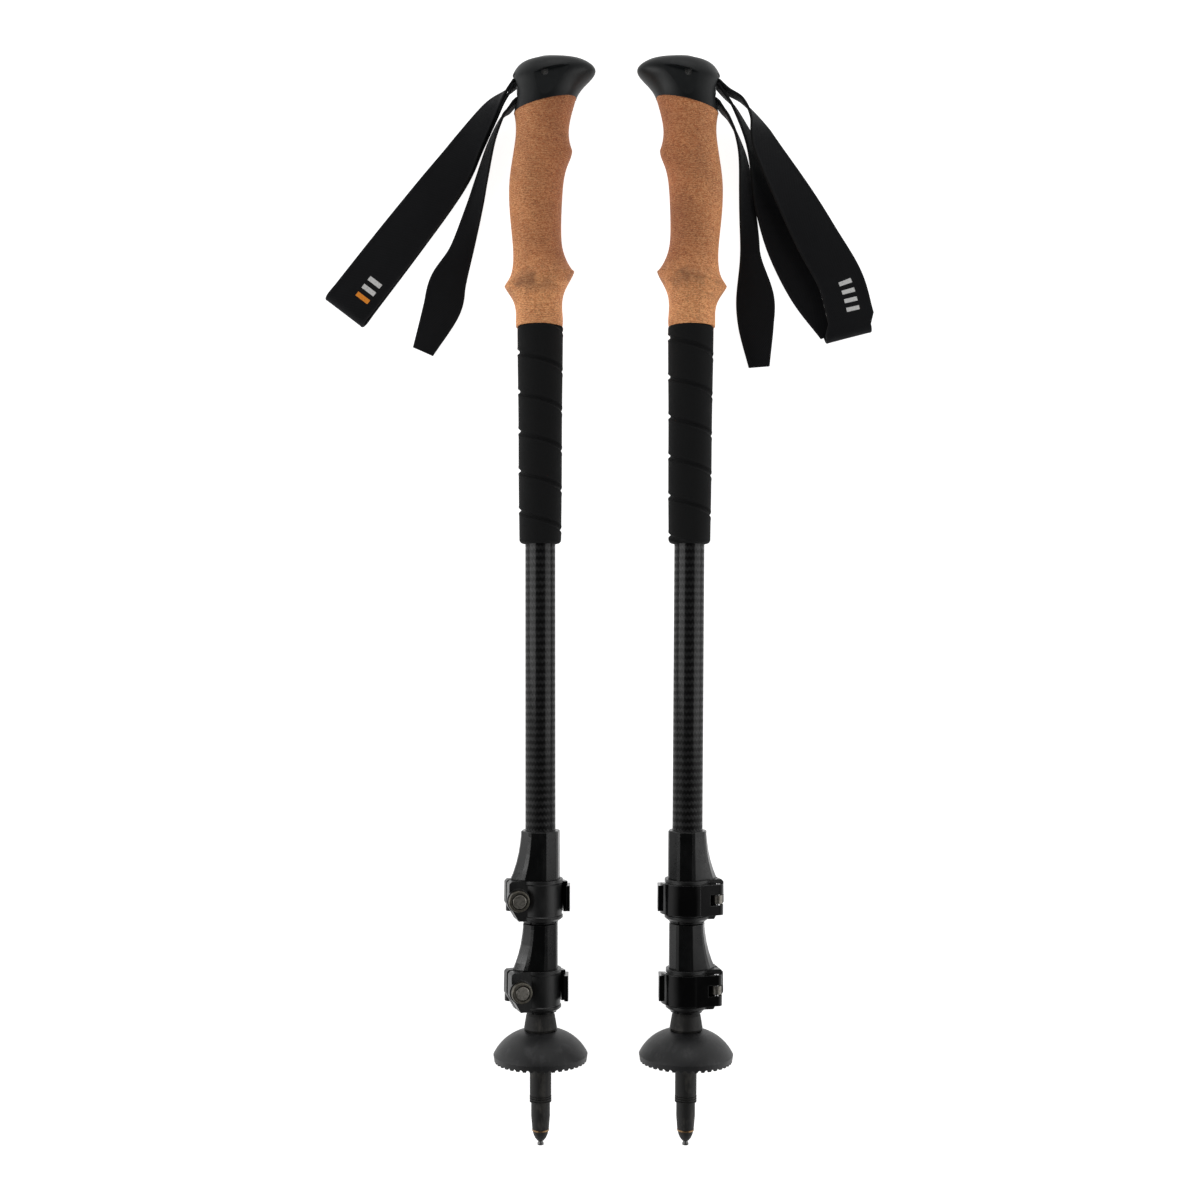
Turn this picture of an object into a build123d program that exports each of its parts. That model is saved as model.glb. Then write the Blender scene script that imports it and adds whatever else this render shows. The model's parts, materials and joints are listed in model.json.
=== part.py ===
from build123d import *
import os
from itertools import pairwise
from math import atan2, cos, degrees, radians, sin

os.makedirs("parts", exist_ok=True)

# A pair of three-section trekking poles, telescoped to their packed length and lying on the ground.
# Each pole is drawn upright in its own frame: the tip end is at the origin, the grip is up (+Z),
# the beak of the grip looks to +X, the wrist strap leaves to -X and the clamp levers are on +Y.
# Both poles are then laid down side by side, grips to +Y, on the plane Z = 0.

# Shafts
LOWER_OD = 14.0  # outer diameter of the thinnest tube
TUBE_WALL = 0.9
SLIDE_GAP = 0.1  # radial clearance of a tube that slides in another
GLUE_GAP = 0.05  # radial clearance of a glued joint
MIDDLE_OD = LOWER_OD + 2 * (TUBE_WALL + SLIDE_GAP)
UPPER_OD = MIDDLE_OD + 2 * (TUBE_WALL + SLIDE_GAP)
LOWER_INSET = 50.0  # how far the lower tube ends below the top of the middle tube
BUSHING_FLANGE = 5.0
BUSHING_PLUG = 12.0
AIR_HOLE_R = 1.5

# Tip, from the end upwards
CARBIDE_R = 1.4
CARBIDE_CROWN_R = 1.9
CARBIDE_LENGTH = 14.0
TIP_NOSE_Z = 2.6
TIP_NOSE_R = 2.0
RING_Z = 8.5
RING_HEIGHT = 0.8
RING_R = 5.05
RING_SEAT_R = 3.5
NECK_Z = 17.3  # the straight neck that a rubber tip protector grips
NECK_LENGTH = 8.2
NECK_R = 5.6
RIB_HEIGHT = 4.1
RIB_R = 6.5
SHANK_R = 6.4
THREAD_Z = 53.0
THREAD_LENGTH = 14.8
THREAD_CORE_R = LOWER_OD / 2 + 1.2
THREAD_RIB = 0.4
HOLDER_LENGTH = 78.5  # from the tip end to the top of the tip holder
HOLDER_R = LOWER_OD / 2 + 2.8
SOCKET_DEPTH = 20.0

# Basket
BASKET_R = 28.0
BASKET_RIM_Z = 49.8
BASKET_TOP_Z = 67.6
BASKET_SKIRT = 4.0  # height of the nearly upright rim
BASKET_WALL = 2.0
BASKET_HUB_R = THREAD_CORE_R + 1.9
BASKET_FIT = 0.05
SCALLOP_R = 1.2
SCALLOPS = 40

# Clamps
PARK_GAP = 0.4  # between a clamp and the piece that is parked under it
LIP_HEIGHT = 1.2
CLAMP_HEIGHT = 24.3
COLLET_WALL = 1.6
BAND_WALL = 3.2
BAND_LIP = 0.5
SLIT = 1.2
EAR_GAP = 2.4
EAR_A = 8.4  # outer face of the ear on the knob side
EAR_B = 6.6  # outer face of the ear on the lever side
BOSS_HEIGHT = 1.6
BOLT_OFFSET = MIDDLE_OD / 2 + 7.5  # bolt axis from the shaft axis
BOLT_RISE = CLAMP_HEIGHT - 11.0  # bolt axis above the bottom of the clamp
BOLT_R = 1.9
BOLT_CLEARANCE = 0.15
BOLT_HEAD_R = 4.1
EYE_R = 3.0
EYE_HEIGHT = 5.0
PIVOT_R = 1.5
PIVOT_FIT = 0.05
HUB_R = 3.4
PIVOT_Y = EAR_B + HUB_R + 0.6
KNOB_R = 6.3
KNOB_HEIGHT = 3.4
KNOB_FLOOR = 0.8
LEVER_HEIGHT = CLAMP_HEIGHT - 6.3
LEVER_WALL = 2.4
LEVER_GAP = 0.5
LEVER_WINDOW = 6.4
TAB_LENGTH = 12.0
TAB_HEIGHT = LEVER_HEIGHT - 3.0
TAB_STEP = 1.4  # how far the finger tab stands out from the lever
UPPER_CLAMP_TURN = 15.0  # degrees about the shaft
LOWER_CLAMP_TURN = {"left": 21.0, "right": 11.0}

# Sleeves that carry the clamps
SLEEVE_WALL = 2.7
UPPER_SLEEVE = 28.7
LOWER_SLEEVE = 27.2
SLEEVE_SHOULDER = 2.0
SLEEVE_CORNER = 5.0  # degrees, half of each cut corner
# How far the strap side of a sleeve is drawn out, at parts of its height
SLEEVE_FLARE = [(0, 6.2), (0.03, 6.2), (0.16, 4.6), (0.35, 2.8), (0.55, 1.4), (0.75, 0.5), (0.9, 0)]

# Grip
BARE_TUBE = 170.8  # the part of the upper tube that shows
FOAM_LENGTH = 130.3
FOAM_TOP_R = UPPER_OD / 2 + 4.7
FOAM_BOTTOM_R = UPPER_OD / 2 + 3.5
CORK_TO_TUBE_TOP = 125.7
SPIGOT_LENGTH = 13.0
TUBE_TOP_ROOM = 8.0
# Cork and head outlines: height and reach of the strap side, height and reach of the beak side,
# and half the width, all from the bottom of the cork.
CORK_SECTIONS = [
    (0, 14.5, 0, 13.3, 13.6),
    (8, 14.6, 10, 13.3, 13.6),
    (15.5, 16.2, 20.5, 14.4, 14.6),
    (20, 18.8, 27, 17.4, 16.4),
    (24.2, 21.4, 33.3, 20.5, 18.2),
    (29.2, 18.4, 38.7, 16.6, 16.2),
    (35, 16.7, 44.7, 14.2, 15.0),
    (46, 16.3, 52, 12.9, 14.4),
    (60, 17.5, 62, 12.7, 14.5),
    (77.5, 18.7, 77.5, 13.3, 14.8),
    (91, 18.2, 92.5, 15.0, 15.0),
    (99, 17.1, 100.5, 17.7, 15.0),
    (104.5, 16.2, 106.5, 19.3, 15.0),
    (112, 15.1, 113, 17.6, 14.8),
    (120.5, 14.6, 121, 17.5, 15.0),
    (129, 15.6, 131, 19.6, 15.7),
    (139, 16.4, 143, 22.8, 16.4),
]
CORK_RIDGES = [4, 12]  # the sections that lie on the palm flare and on the finger ridge
HEAD_SECTIONS = [
    (124.7, 15.7, 124.7, 19.0, 16.0),
    (129.2, 15.7, 129.2, 20.2, 16.2),
    (135.0, 15.0, 135.0, 21.5, 16.4),
    (140.6, 14.8, 140.6, 22.9, 16.6),
    (143.3, 15.2, 143.3, 24.6, 16.6),
    (146.4, 16.3, 146.4, 27.2, 16.6),
    (149.4, 17.0, 149.4, 30.2, 16.6),
    (152.0, 16.4, 152.0, 32.4, 16.3),
    (154.6, 15.1, 154.6, 33.4, 15.6),
    (157.5, 12.7, 157.5, 31.8, 14.2),
    (159.8, 8.6, 159.8, 28.2, 11.8),
    (161.2, 4.3, 161.2, 23.3, 8.6),
    (161.8, -1.3, 161.8, 17.0, 5.0),
]
# The seam between cork and head is an arc, seen from the side: (x, height above the cork's bottom)
SEAM = [(-17.5, 128.5), (3.6, 132.8), (26.0, 139.7)]
# Each side of the head is flat under a crease that rises from the strap side to the beak side
CREASE = [(-20.0, 140.0), (4.0, 151.0), (36.0, 153.0)]
FLAT_FOOT_Z = 133.0
FLAT_LEAN = 5.2  # degrees inwards
STRAP_PIN_AT = (3.4, 149.0)
STRAP_PIN_R = 2.0
STRAP_PIN_INSET = 1.2

# Wrist strap
WEB_WIDTH = 12.0
WEB = 1.6  # thickness of the webbing
WEB_ROOM = 0.9  # free space beside the webbing in its slot
MOUTH_X = -16.5
MOUTH_RISE = 146.7
TAIL_DROP = 11.5  # the tail leaves the slot this far below the loop
WEB_INSIDE_X = -11.0  # where the webbing inside the head ends
LOOP_LEG_RISE = 150.0  # heights of its two legs there
TAIL_LEG_RISE = 137.2
WEDGE = [(-13.8, 138.9), (-13.8, 143.2), (-4, 146.4), (-4, 143.5)]  # outline of the pinch block
FOLD_R = 3.8
FOLD_LENGTH = 6.0  # from the last station of the legs to the centre of the fold
FLOOR_GAP = 0.2
# Stations of the webbing where it lies: how far out from the slot, how far down along the pole,
# height of the middle, width, twist in degrees away from lying flat, and the gap between two layers
# where they lie on each other.
LEFT_LOOP = [
    (-1, 0, None, WEB_WIDTH, 90, 0.8),
    (4, 4.8, 16.2, WEB_WIDTH, 72, 0.8),
    (13.3, 14.1, 13, 14, 36, 0.8),
    (26.1, 31.7, 8, 18, WEB_WIDTH, 0.8),
    (35.9, 46.8, 5, 23, 3, 0.8),
    (47.8, 62.9, 3.2, 26, 0, 1.6),
    (72, 94.7, 4.1, 28, 0, 4.6),
    (96.7, 127.6, 4.8, 28.6, 0, 6.0),
]
RIGHT_UPPER = [
    (-1, -1.2, None, WEB_WIDTH, 90),
    (5, 4, 16.4, WEB_WIDTH, 88),
    (13.5, 9, 15.5, WEB_WIDTH, 84),
    (20.5, 18, 14, 14, 64),
    (25, 28, 12.5, 17, 35),
    (30, 38.5, 11.5, 20, 25),
    (46.6, 67, 9.0, 25, 12),
    (60, 91, 7.5, 27.5, 5),
    (74, 116, 7.5, 28.4, 2),
    (80.3, 139.1, 8.6, 28.6, 0),
]
RIGHT_LOWER = [
    (-1, 1.2, None, WEB_WIDTH, 90),
    (2.6, 5.8, 16.0, WEB_WIDTH, 84),
    (8.3, 12.3, 14.5, WEB_WIDTH, 74),
    (15.2, 24, 11.5, WEB_WIDTH, 62),
    (20.8, 35.5, 8.8, 13, 48),
    (25.6, 50.5, 5.8, 15, 30),
    (30.6, 70, 3.2, 17, 10),
    (40.8, 94, 1.0, 22, 0),
    (56, 120, 1.0, 26, 0),
    (74, 141.5, 1.0, 28.6, 0),
]
LEFT_TAIL = [
    (-1, TAIL_DROP, None, WEB_WIDTH, 90),
    (2.4, 15.7, 16.2, WEB_WIDTH, 86),
    (6.9, 20.3, 15, WEB_WIDTH, 76),
    (13.4, 34.1, 11, WEB_WIDTH, 65),
    (19.7, 55.1, 6.5, WEB_WIDTH, 45),
    (23.9, 70, 3.8, WEB_WIDTH, 25),
    (32.3, 96.7, 1.0, 15, 0),
    (40.5, 116, 1.0, 22.6, 0),
    (44.4, 132.2, 1.0, 23.2, 0),
    (55.9, 158.4, 1.0, 13.5, 0),
]
RIGHT_TAIL = [
    (-1, TAIL_DROP, None, WEB_WIDTH, 90),
    (1.8, 15.5, 16.2, WEB_WIDTH, 88),
    (6, 20.6, 15, WEB_WIDTH, 82),
    (10.7, 30, 13, WEB_WIDTH, 76),
    (14.8, 43.7, 9.5, WEB_WIDTH, 60),
    (17.1, 63.5, 5.2, WEB_WIDTH, 38),
    (19.3, 88.2, 1.8, WEB_WIDTH, 8),
    (20.1, 101.7, 1.0, 13.5, 0),
    (22.8, 124.7, 1.0, 23.3, 0),
    (23.4, 143.3, 1.0, 21.7, 0),
    (25.3, 167.7, 1.0, 12.9, 0),
]

BASE = (Align.CENTER, Align.CENTER, Align.MIN)  # a round solid that stands on its foot

# How the pair lies
TIP_X = {"left": -35.3, "right": 50.7}
YAW = {"left": 0.07, "right": -0.45}  # degrees, grips swung towards -X or +X

# Heights along a pole, worked out from the lengths above
LOWER_COLLET_Z = HOLDER_LENGTH + PARK_GAP
LOWER_CLAMP_Z = LOWER_COLLET_Z + LIP_HEIGHT
LOWER_SLEEVE_Z = LOWER_CLAMP_Z + CLAMP_HEIGHT
UPPER_COLLET_Z = LOWER_SLEEVE_Z + LOWER_SLEEVE + PARK_GAP
UPPER_CLAMP_Z = UPPER_COLLET_Z + LIP_HEIGHT
UPPER_SLEEVE_Z = UPPER_CLAMP_Z + CLAMP_HEIGHT
FOAM_Z = UPPER_SLEEVE_Z + UPPER_SLEEVE + BARE_TUBE
CORK_Z = FOAM_Z + FOAM_LENGTH
TUBE_TOP_Z = CORK_Z + CORK_TO_TUBE_TOP
MIDDLE_TOP_Z = TUBE_TOP_Z - SPIGOT_LENGTH - TUBE_TOP_ROOM
LOWER_TOP_Z = MIDDLE_TOP_Z - LOWER_INSET
MOUTH_Z = CORK_Z + MOUTH_RISE
HEAD_TOP_Z = CORK_Z + HEAD_SECTIONS[-1][0]
HEAD_WIDEST_Z = CORK_Z + HEAD_SECTIONS[6][0]
HEAD_HALF_WIDTH = HEAD_SECTIONS[6][4]
NECK_TOP_Z = NECK_Z + NECK_LENGTH

# A pole rests on the rim of its basket and on the side of its head
BASKET_EDGE_Z = BASKET_RIM_Z + BASKET_SKIRT
TILT = degrees(atan2(BASKET_R - HEAD_HALF_WIDTH, HEAD_WIDEST_Z - BASKET_EDGE_Z))
TIP_HEIGHT = BASKET_R * cos(radians(TILT)) + BASKET_EDGE_Z * sin(radians(TILT))


def turned(outline):
    """A solid of revolution about the pole axis from a closed outline of (radius, height)."""
    return revolve(Plane.XZ * make_face(Polyline(*outline, close=True)), Axis.Z)


def tube(od, bore_r, bottom, top):
    outer = Pos(0, 0, bottom) * Cylinder(od / 2, top - bottom, align=BASE)
    return outer - Pos(0, 0, bottom) * Cylinder(bore_r, top - bottom, align=BASE)


def along_y(radius, start, end, x, z):
    """A round bar along Y."""
    bar = Cylinder(radius, end - start, align=BASE)
    return Pos(x, start, z) * Rot(-90, 0, 0) * bar


# ---- shafts ----
def upper_tube():
    return tube(UPPER_OD, MIDDLE_OD / 2 + SLIDE_GAP, UPPER_SLEEVE_Z + SLEEVE_SHOULDER, TUBE_TOP_Z)


def middle_tube():
    return tube(MIDDLE_OD, LOWER_OD / 2 + SLIDE_GAP, LOWER_SLEEVE_Z + SLEEVE_SHOULDER, MIDDLE_TOP_Z)


def lower_tube():
    bore_r = LOWER_OD / 2 - TUBE_WALL
    return tube(LOWER_OD, bore_r, HOLDER_LENGTH - SOCKET_DEPTH, LOWER_TOP_Z)


def bushing(bore_r, outer_bore_r, top):
    """The guide on the top end of an inner tube: a plug in its bore under a running flange."""
    flange_r = outer_bore_r - PIVOT_FIT
    plug_r = bore_r - GLUE_GAP
    body = Pos(0, 0, top) * Cylinder(flange_r, BUSHING_FLANGE, align=BASE)
    body += Pos(0, 0, top - BUSHING_PLUG) * Cylinder(plug_r, BUSHING_PLUG, align=BASE)
    length = BUSHING_PLUG + BUSHING_FLANGE
    return body - Pos(0, 0, top - BUSHING_PLUG) * Cylinder(AIR_HOLE_R, length, align=BASE)


# ---- tip ----
def tip_holder():
    """The moulded tip: a socket for the lower tube, a thread for the basket and a tapered nose."""
    rib_top = NECK_TOP_Z + RIB_HEIGHT
    seat_top = RING_Z + RING_HEIGHT
    outline = [
        (0, TIP_NOSE_Z),
        (TIP_NOSE_R, TIP_NOSE_Z),
        (3.3, 4.2),
        (4.2, 6.2),
        (RING_R - 0.3, RING_Z - 0.1),
        (RING_SEAT_R, RING_Z - 0.1),
        (RING_SEAT_R, seat_top + 0.1),
        (RING_R - 0.1, seat_top + 0.1),
        (NECK_R, NECK_Z),
        (NECK_R, NECK_TOP_Z),
    ]
    grooves = 3
    step = RIB_HEIGHT / grooves
    for i in range(grooves):
        foot = NECK_TOP_Z + i * step
        outline += [(RIB_R, foot + 0.15), (RIB_R, foot + step - 0.6), (RIB_R - 0.8, foot + step - 0.4)]
    outline += [(SHANK_R, rib_top), (SHANK_R, THREAD_Z - 6), (THREAD_CORE_R, THREAD_Z - 3)]
    turns = int(THREAD_LENGTH // 3)
    pitch = THREAD_LENGTH / turns
    for i in range(turns):
        foot = THREAD_Z + i * pitch
        ridge = THREAD_CORE_R + THREAD_RIB
        outline += [(THREAD_CORE_R, foot + 0.4), (ridge, foot + 0.9), (ridge, foot + 1.5)]
        outline.append((THREAD_CORE_R, foot + 2.0))
    shoulder = THREAD_Z + THREAD_LENGTH
    top = HOLDER_LENGTH
    outline += [
        (THREAD_CORE_R, shoulder),
        (HOLDER_R - 0.8, shoulder),
        (HOLDER_R, shoulder + 1.4),
        (HOLDER_R - 0.6, top - 5.6),
        (HOLDER_R - 1.3, top - 1.6),
        (LOWER_OD / 2 + 0.6, top),
        (0, top),
    ]
    body = turned(outline)
    socket = Cylinder(LOWER_OD / 2 + GLUE_GAP, SOCKET_DEPTH, align=BASE)
    body -= Pos(0, 0, top - SOCKET_DEPTH) * socket
    return body - Cylinder(CARBIDE_R + GLUE_GAP, CARBIDE_LENGTH, align=BASE)


def tip_ring():
    return tube(2 * RING_R, RING_SEAT_R + GLUE_GAP, RING_Z, RING_Z + RING_HEIGHT)


def carbide_tip():
    """A hard metal pin with a cupped end that bites into rock."""
    outline = [(0, 0), (CARBIDE_CROWN_R, 0), (CARBIDE_CROWN_R, 0.9), (CARBIDE_R, 2.0)]
    outline += [(CARBIDE_R, CARBIDE_LENGTH), (0, CARBIDE_LENGTH)]
    return turned(outline) - Pos(0, 0, -1.2) * Sphere(1.95)


def basket():
    """A domed basket with a scalloped rim, screwed on the tip holder."""
    hub_top = BASKET_TOP_Z - 1.0
    hub_foot = BASKET_RIM_Z + 3.4
    bore = THREAD_CORE_R + THREAD_RIB + BASKET_FIT
    mid_r = (BASKET_R + BASKET_HUB_R) / 2
    mid_z = (BASKET_EDGE_Z + BASKET_TOP_Z) / 2
    skin = BASKET_WALL
    shoulder = (BASKET_HUB_R - 0.4, BASKET_TOP_Z)
    top = ThreePointArc(shoulder, (mid_r, mid_z + 3.1), (BASKET_R, BASKET_EDGE_Z))
    inner = BASKET_R - skin
    hollow = ThreePointArc((inner, BASKET_EDGE_Z - 1), (mid_r - 1, mid_z + 0.5), (BASKET_HUB_R, BASKET_TOP_Z - 4))
    dome = [
        top,
        Line(top @ 1, (BASKET_R - 0.6, BASKET_RIM_Z)),
        Line((BASKET_R - 0.6, BASKET_RIM_Z), (inner, BASKET_RIM_Z)),
        Line((inner, BASKET_RIM_Z), hollow @ 0),
        hollow,
        Line(hollow @ 1, (BASKET_HUB_R, hub_foot)),
        Line((BASKET_HUB_R, hub_foot), (bore, hub_foot)),
        Line((bore, hub_foot), (bore, hub_top)),
        Line((bore, hub_top), (BASKET_HUB_R - 0.9, BASKET_TOP_Z - 0.6)),
        Line((BASKET_HUB_R - 0.9, BASKET_TOP_Z - 0.6), top @ 0),
    ]
    body = revolve(Plane.XZ * make_face(Wire(dome)), Axis.Z)
    notch = Pos(BASKET_R - 5, 0, BASKET_RIM_Z) * Rot(0, 90, 0) * Cylinder(SCALLOP_R, 10, align=BASE)
    for i in range(SCALLOPS):
        body -= Rot(0, 0, 360 / SCALLOPS * (i + 0.5)) * notch
    return body


# ---- clamps ----
def collet_r(inner_od):
    return inner_od / 2 + COLLET_WALL


def band_r(inner_od):
    return collet_r(inner_od) + GLUE_GAP + BAND_WALL


def facets(r, flare, z):
    """An octagon with cut corners whose strap side is drawn out by the flare."""
    corners = []
    for i in range(8):
        for turn in (-SLEEVE_CORNER, SLEEVE_CORNER):
            angle = radians(45 * i + turn)
            corners.append((r * cos(angle) + flare * min(0, cos(angle)), r * sin(angle)))
    return Pos(0, 0, z) * make_face(Polyline(*corners, close=True))


def sleeve(outer_od, inner_od, clamp_z, height):
    """A faceted sleeve on the end of the outer tube; its slit collet reaches down inside the clamp."""
    collet_bottom = clamp_z - LIP_HEIGHT
    bottom = clamp_z + CLAMP_HEIGHT
    r = outer_od / 2 + SLEEVE_WALL
    rings = [facets(r, flare, bottom + part * height) for part, flare in SLEEVE_FLARE]
    rings += [facets(r, 0, bottom + height - 0.5), facets(r - 0.5, 0, bottom + height)]
    body = loft(rings, ruled=True)
    collet = Cylinder(collet_r(inner_od), bottom - collet_bottom, align=BASE)
    lip = Cylinder(collet_r(inner_od) + 0.9, LIP_HEIGHT, align=BASE)
    body += Pos(0, 0, collet_bottom) * (collet + lip)
    running = Cylinder(inner_od / 2 + SLIDE_GAP, bottom + height - collet_bottom, align=BASE)
    body -= Pos(0, 0, collet_bottom) * running
    seat = Cylinder(outer_od / 2 + GLUE_GAP, height, align=BASE)
    body -= Pos(0, 0, bottom + SLEEVE_SHOULDER) * seat
    slit = Box(60, SLIT, bottom - collet_bottom - 3, align=BASE)
    for angle in (45, 135):
        body -= Pos(0, 0, collet_bottom) * Rot(0, 0, angle) * slit
    return body


def collar(inner_od, bottom):
    """The band round the collet, with two ears that the tension bolt draws together."""
    r = band_r(inner_od)
    h = CLAMP_HEIGHT
    lip = r + BAND_LIP
    outline = [(0, 0), (r - 1.4, 0), (lip, 1.5), (lip, 2.8), (r, 3.4)]
    outline += [(r, h - 2.6), (lip, h - 2.0), (lip, h), (0, h)]
    body = turned(outline)
    reach = BOLT_OFFSET + KNOB_R
    ear = [(-2, 0.8), (-BOLT_OFFSET + 0.6, 0.8), (-reach + 1.0, 0.45 * h)]
    ear += [(-reach + 1.2, h - 1.4), (-reach + 2.6, h), (-2, h)]
    face = Plane.XZ * make_face(Polyline(*ear, close=True))
    body += Pos(0, -EAR_A, 0) * extrude(face, -(EAR_A + EAR_B))
    body += along_y(KNOB_R + 0.5, -EAR_A - BOSS_HEIGHT, -EAR_A, -BOLT_OFFSET, BOLT_RISE)
    body -= Cylinder(collet_r(inner_od) + GLUE_GAP, h, align=BASE)
    body -= Pos(-reach, 0, h / 2) * Box(2 * reach, EAR_GAP, h)
    body -= along_y(BOLT_R + BOLT_CLEARANCE, -EAR_A - 5, EAR_B + 5, -BOLT_OFFSET, BOLT_RISE)
    return Pos(0, 0, bottom) * body


def tension_bolt(bottom):
    """From its round head in the knob, through both ears, to the eye that holds the lever's pivot."""
    z = bottom + BOLT_RISE
    head_y = -EAR_A - BOSS_HEIGHT - 0.3 - KNOB_HEIGHT
    floor_y = -EAR_A - BOSS_HEIGHT - 0.3 - KNOB_FLOOR
    body = along_y(BOLT_HEAD_R, head_y - 0.5, floor_y - 0.3, -BOLT_OFFSET, z)
    body = fillet(body.edges().group_by(Axis.Y)[0], 0.7)
    body += along_y(BOLT_R, floor_y - 0.4, PIVOT_Y - 1, -BOLT_OFFSET, z)
    body += Pos(-BOLT_OFFSET, PIVOT_Y, z) * Cylinder(EYE_R, EYE_HEIGHT)
    return body - Pos(-BOLT_OFFSET, PIVOT_Y, z) * Cylinder(PIVOT_R + PIVOT_FIT, EYE_HEIGHT + 2)


def tension_knob(bottom):
    """The round nut that sets the clamping force; the bolt's head sits in its recess."""
    z = bottom + BOLT_RISE
    near_y = -EAR_A - BOSS_HEIGHT - 0.3
    body = along_y(KNOB_R, near_y - KNOB_HEIGHT, near_y, -BOLT_OFFSET, z)
    body = fillet(body.edges().group_by(Axis.Y)[0], 0.9)
    body -= along_y(BOLT_HEAD_R + 0.5, near_y - KNOB_HEIGHT - 1, near_y - KNOB_FLOOR, -BOLT_OFFSET, z)
    return body - along_y(BOLT_R + PIVOT_FIT, near_y - 2, near_y + 1, -BOLT_OFFSET, z)


def lever_pivot(bottom):
    z = bottom + BOLT_RISE
    return Pos(-BOLT_OFFSET, PIVOT_Y, z) * Cylinder(PIVOT_R, LEVER_HEIGHT + 0.4)


def lever(inner_od, bottom, turn):
    """The cam lever: a hub on the pivot, a plate that wraps round the band and a finger tab."""
    inner = band_r(inner_od) + BAND_LIP + LEVER_GAP
    outer = inner + LEVER_WALL
    top_y = PIVOT_Y + HUB_R
    low_y = PIVOT_Y - HUB_R
    hub = Pos(-BOLT_OFFSET, PIVOT_Y) * Circle(HUB_R)
    root = [(-BOLT_OFFSET, top_y), (0, outer), (0, 0), (-6, low_y), (-BOLT_OFFSET, low_y)]
    wrap = [(0, 0), (3 * outer, -0.36 * outer), (3 * outer, 3 * outer), (-0.6 * outer, 3 * outer)]
    plate = (Circle(outer) & make_face(Polyline(*wrap, close=True))) + make_face(Polyline(*root, close=True))
    side = Rot(0, 0, -turn)
    tab_out = outer + TAB_STEP
    tab = side * Pos(tab_out - LEVER_WALL / 2, 0) * RectangleRounded(LEVER_WALL, TAB_LENGTH, 0.8)
    web = side * Pos((inner + tab_out) / 2, TAB_LENGTH / 2 - 2.0) * Rectangle(tab_out - inner - 1, 3.4)
    z = bottom + BOLT_RISE
    body = Pos(0, 0, z - LEVER_HEIGHT / 2) * extrude((plate + hub) - Circle(inner), LEVER_HEIGHT)
    body += Pos(0, 0, z - TAB_HEIGHT / 2) * extrude((tab + web) - Circle(inner), TAB_HEIGHT)
    window = Pos(-BOLT_OFFSET + 0.9, PIVOT_Y, z) * Box(10, 12, LEVER_WINDOW)
    body -= window
    return body - Pos(-BOLT_OFFSET, PIVOT_Y, z) * Cylinder(PIVOT_R + PIVOT_FIT, LEVER_HEIGHT + 2)


# ---- grip ----
def section(rear_z, rear_x, front_z, front_x, half_width):
    """An oval across the grip, through its strap-side and beak-side points."""
    rear = Vector(-rear_x, 0, rear_z)
    front = Vector(front_x, 0, front_z)
    across = (front - rear).normalized()
    plane = Plane(origin=(rear + front) * 0.5, x_dir=across, z_dir=across.cross(Vector(0, 1, 0)))
    return plane * Ellipse((front - rear).length / 2, half_width)


def below_seam():
    seam = ThreePointArc(*SEAM)
    rest = Polyline(seam @ 1, (60, SEAM[2][1]), (60, -60), (-60, -60), (-60, SEAM[0][1] - 20), seam @ 0)
    return extrude(Plane.XZ * make_face(Wire([seam, *rest.edges()])), 40, both=True)


def cork_grip():
    """The cork, in runs that meet at its two ridges."""
    ovals = [section(*s) for s in CORK_SECTIONS]
    body = Part()
    for first, last in pairwise([0, *CORK_RIDGES, len(ovals) - 1]):
        body += loft(ovals[first : last + 1])
    bore_r = UPPER_OD / 2 + GLUE_GAP
    body -= Pos(0, 0, -1) * Cylinder(bore_r, SEAM[1][1] + 10, align=BASE)
    return Pos(0, 0, CORK_Z) * (body & below_seam())


def grip_head():
    """The moulded head with its spigot in the tube, creased sides, strap slot and pin hole."""
    body = loft([section(*s) for s in HEAD_SECTIONS]) - below_seam()
    spigot_z = CORK_TO_TUBE_TOP - SPIGOT_LENGTH
    spigot = Cylinder(UPPER_OD / 2 - TUBE_WALL - GLUE_GAP, STRAP_PIN_AT[1] - spigot_z - 2, align=BASE)
    body += Pos(0, 0, spigot_z) * spigot
    pin_x, pin_z = STRAP_PIN_AT
    crease = ThreePointArc(*[(x, z - FLAT_FOOT_Z) for x, z in CREASE])
    rest = Polyline(crease @ 1, (CREASE[2][0], -20), (CREASE[0][0], -20), crease @ 0)
    under_crease = make_face(Wire([crease, *rest.edges()]))
    for side in (-1, 1):
        lean = Pos(0, side * HEAD_HALF_WIDTH, FLAT_FOOT_Z) * Rot(side * FLAT_LEAN, 0, 0)
        body -= lean * extrude(Plane.XZ * under_crease, -10 * side)
    body -= along_y(STRAP_PIN_R + GLUE_GAP, -HEAD_HALF_WIDTH - 5, HEAD_HALF_WIDTH + 5, pin_x, pin_z)
    turn_r = STRAP_PIN_R + WEB + WEB_ROOM
    slot = [(-40, pin_z - 33.0), (-1, pin_z - 8.5), (pin_x, pin_z - turn_r)]
    slot += [(pin_x, pin_z + turn_r), (-8, pin_z + 2.4), (-40, pin_z + 3.2)]
    mouth = make_face(Polyline(*slot, close=True)) + Pos(pin_x, pin_z) * Circle(turn_r)
    room = extrude(Plane.XZ * mouth, WEB_WIDTH / 2 + WEB_ROOM, both=True)
    return Pos(0, 0, CORK_Z) * (body - room)


def foam_grip():
    top = FOAM_LENGTH
    outline = [(FOAM_BOTTOM_R - 3, 0), (FOAM_BOTTOM_R - 0.8, 0.5), (FOAM_BOTTOM_R, 2.5)]
    outline += [(FOAM_TOP_R, top), (UPPER_OD / 2 + GLUE_GAP, top), (UPPER_OD / 2 + GLUE_GAP, 0)]
    return Pos(0, 0, FOAM_Z) * turned(outline)


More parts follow.
